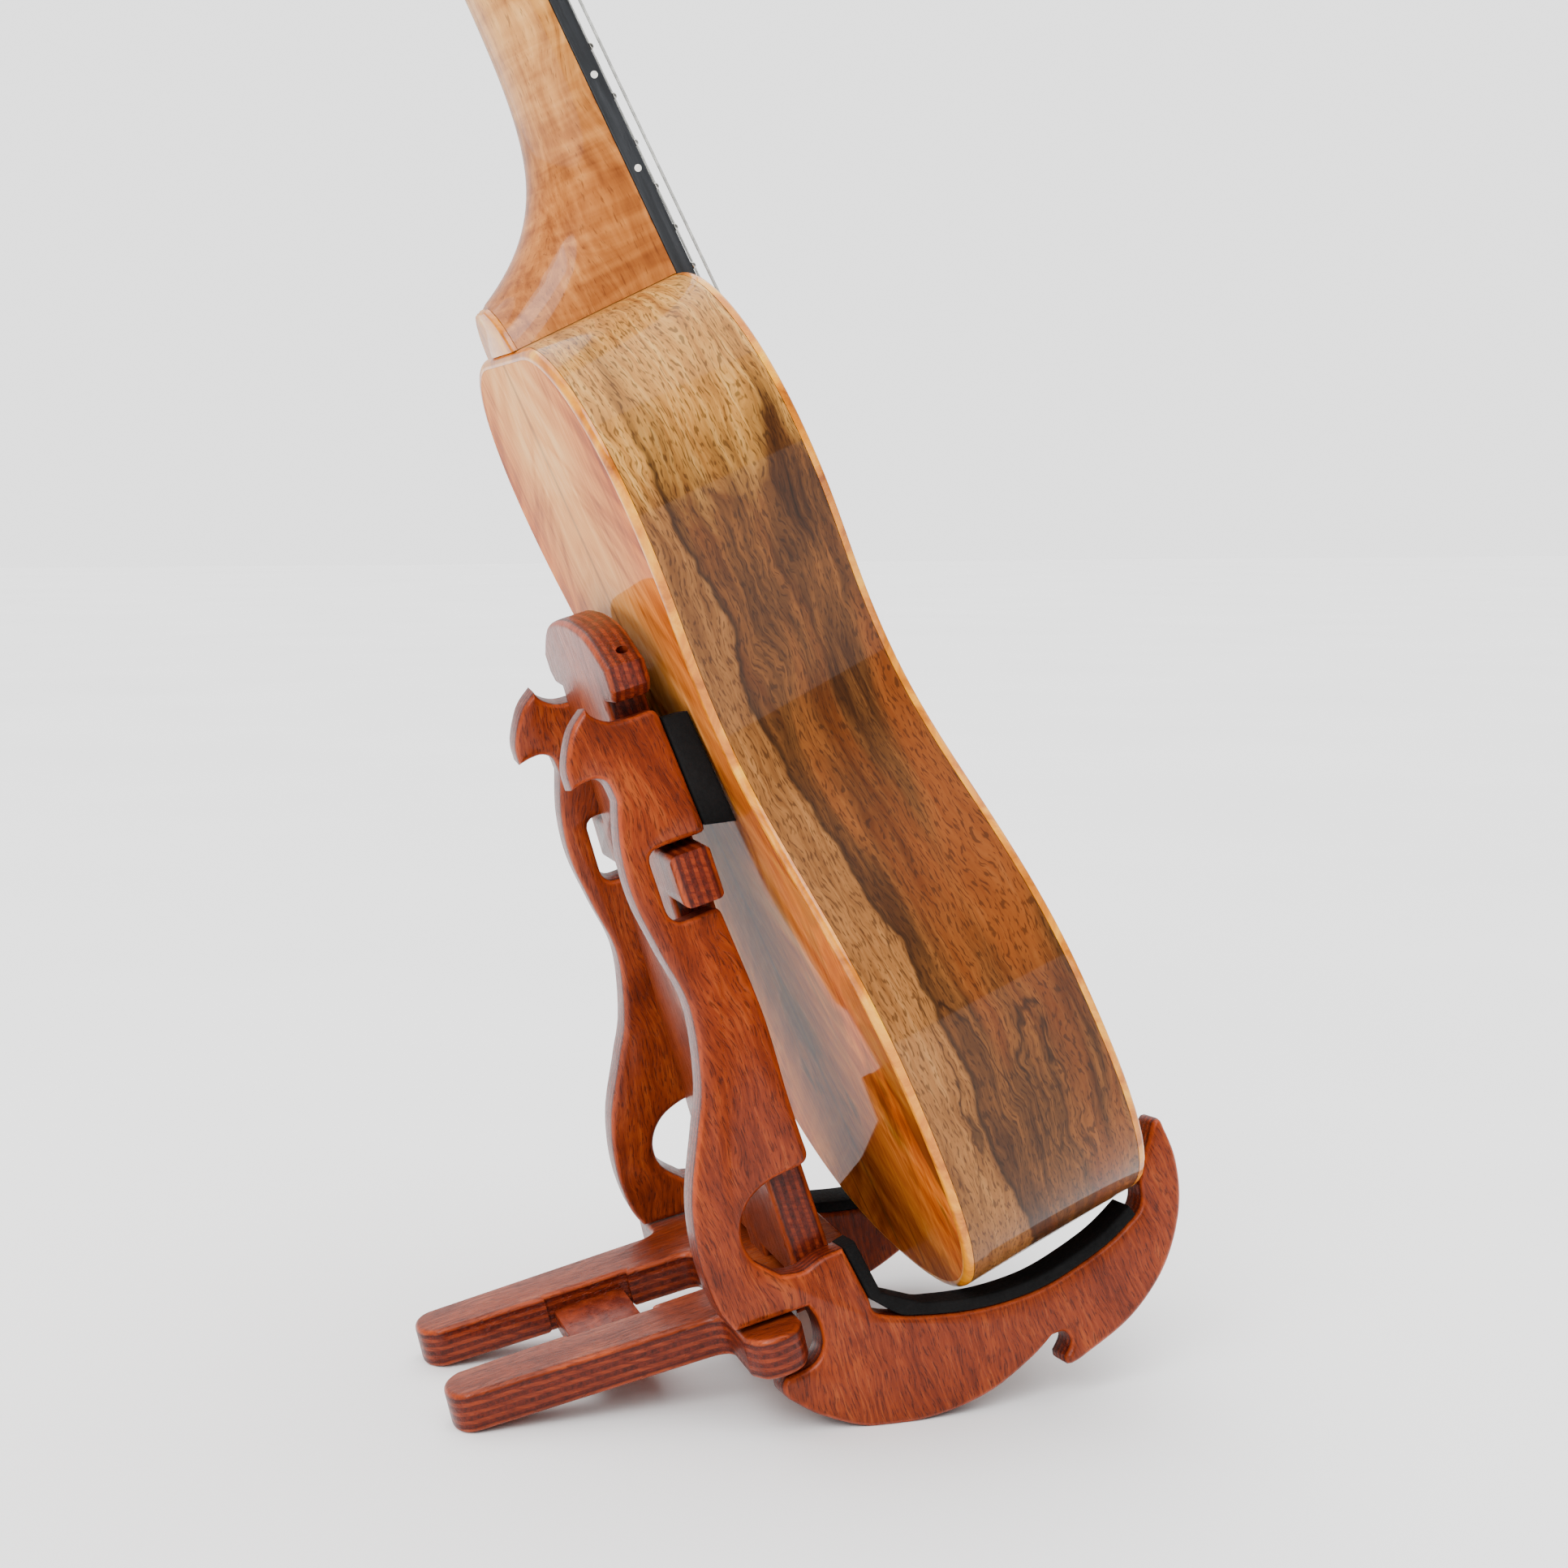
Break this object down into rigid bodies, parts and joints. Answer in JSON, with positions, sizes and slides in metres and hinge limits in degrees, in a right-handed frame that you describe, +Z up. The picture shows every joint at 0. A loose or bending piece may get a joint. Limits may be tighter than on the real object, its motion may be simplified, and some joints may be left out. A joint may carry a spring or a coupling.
{
  "type": "ukulele on a stand",
  "caption": "Tenor ukulele leaning on a low knock-down plywood stand with padded cradle arms; the instrument lifts off and its tuners turn.",
  "frame": {"origin": "middle of the overall box, on the table the stand's feet rest on", "axes": "+Z up, +X forward out of the soundboard, +Y to the object's left"},
  "size_m": [0.339, 0.194, 0.6442],
  "materials": {
    "stand_plywood": "red-brown stained ply, semi-gloss lacquer",
    "pad_rubber": "matte black foam rubber",
    "koa_top": "high-gloss lacquer over figured wood",
    "koa_back": "high-gloss lacquer over curly figure",
    "koa_side": "high-gloss lacquer over spalted figure",
    "inner_spruce": "raw planed wood",
    "inner_mahogany": "raw planed wood",
    "neck_wood": "satin-gloss lacquer",
    "ebony": "oiled, near black",
    "bone": "polished bone white",
    "nylon": "clear white nylon",
    "fret_wire": "polished nickel silver",
    "tuner_metal": "plated, polished",
    "tuner_knob": "pearl white"
  },
  "bodies": {
    "stand": {"side_plate_right": "stand_plywood", "back_pad_right": "pad_rubber", "cradle_pad_right": "pad_rubber", "side_plate_left": "stand_plywood", "back_pad_left": "pad_rubber", "cradle_pad_left": "pad_rubber", "spine_board": "stand_plywood", "base_fork": "stand_plywood"},
    "ukulele": {"soundboard": "koa_top", "back_plate": "koa_back", "rib_right": "koa_side", "rib_left": "koa_side", "lining_top": "inner_spruce", "lining_back": "inner_spruce", "tail_block": "inner_mahogany", "neck_block": "inner_mahogany", "top_brace": "inner_spruce", "fan_brace": "inner_spruce", "back_brace_lower": "inner_spruce", "back_brace_upper": "inner_spruce", "neck": "neck_wood", "heel_cap": "ebony", "fretboard": "ebony", "fret_01": "fret_wire", "fret_02": "fret_wire", "fret_03": "fret_wire", "fret_04": "fret_wire", "fret_05": "fret_wire", "fret_06": "fret_wire", "fret_07": "fret_wire", "fret_08": "fret_wire", "fret_09": "fret_wire", "fret_10": "fret_wire", "fret_11": "fret_wire", "fret_12": "fret_wire", "fret_13": "fret_wire", "fret_14": "fret_wire", "fret_15": "fret_wire", "fret_16": "fret_wire", "fret_17": "fret_wire", "fret_18": "fret_wire", "nut": "bone", "bridge": "ebony", "saddle": "bone", "string_1": "nylon", "string_2": "nylon", "string_3": "nylon", "string_4": "nylon", "tuner_housing_1": "tuner_metal", "tuner_housing_2": "tuner_metal", "tuner_housing_3": "tuner_metal", "tuner_housing_4": "tuner_metal"},
    "tuner_post_1": {"tuner_post_1": "tuner_metal"},
    "tuner_button_1": {"tuner_button_1": "tuner_knob"},
    "tuner_post_2": {"tuner_post_2": "tuner_metal"},
    "tuner_button_2": {"tuner_button_2": "tuner_knob"},
    "tuner_post_3": {"tuner_post_3": "tuner_metal"},
    "tuner_button_3": {"tuner_button_3": "tuner_knob"},
    "tuner_post_4": {"tuner_post_4": "tuner_metal"},
    "tuner_button_4": {"tuner_button_4": "tuner_knob"}
  },
  "joints": [
    {"name": "ukulele_lift", "type": "slide", "parent": "stand", "child": "ukulele", "axis": [-0.411, 0, 0.9116], "range_m": [0, 0.26]},
    {"name": "button_1_turn", "type": "hinge", "parent": "ukulele", "child": "tuner_button_1", "pos_m": [-0.11143, -0.04, 0.55486], "axis": [0, 1, 0], "continuous": true},
    {"name": "post_1_turn", "type": "hinge", "parent": "ukulele", "child": "tuner_post_1", "pos_m": [-0.10225, -0.017, 0.57015], "axis": [0.788, 0, 0.6157], "continuous": true},
    {"name": "button_2_turn", "type": "hinge", "parent": "ukulele", "child": "tuner_button_2", "pos_m": [-0.14222, -0.04, 0.59426], "axis": [0, 1, 0], "continuous": true},
    {"name": "post_2_turn", "type": "hinge", "parent": "ukulele", "child": "tuner_post_2", "pos_m": [-0.13304, -0.017, 0.60955], "axis": [0.788, 0, 0.6157], "continuous": true},
    {"name": "button_3_turn", "type": "hinge", "parent": "ukulele", "child": "tuner_button_3", "pos_m": [-0.14222, 0.04, 0.59426], "axis": [0, 1, 0], "continuous": true},
    {"name": "post_3_turn", "type": "hinge", "parent": "ukulele", "child": "tuner_post_3", "pos_m": [-0.13304, 0.017, 0.60955], "axis": [0.788, 0, 0.6157], "continuous": true},
    {"name": "button_4_turn", "type": "hinge", "parent": "ukulele", "child": "tuner_button_4", "pos_m": [-0.11143, 0.04, 0.55486], "axis": [0, 1, 0], "continuous": true},
    {"name": "post_4_turn", "type": "hinge", "parent": "ukulele", "child": "tuner_post_4", "pos_m": [-0.10225, 0.017, 0.57015], "axis": [0.788, 0, 0.6157], "continuous": true}
  ],
  "couplings": [
    {"joint": "post_1_turn", "follows": "button_1_turn", "ratio": 0.071429},
    {"joint": "post_2_turn", "follows": "button_2_turn", "ratio": 0.071429},
    {"joint": "post_3_turn", "follows": "button_3_turn", "ratio": 0.071429},
    {"joint": "post_4_turn", "follows": "button_4_turn", "ratio": 0.071429}
  ]
}
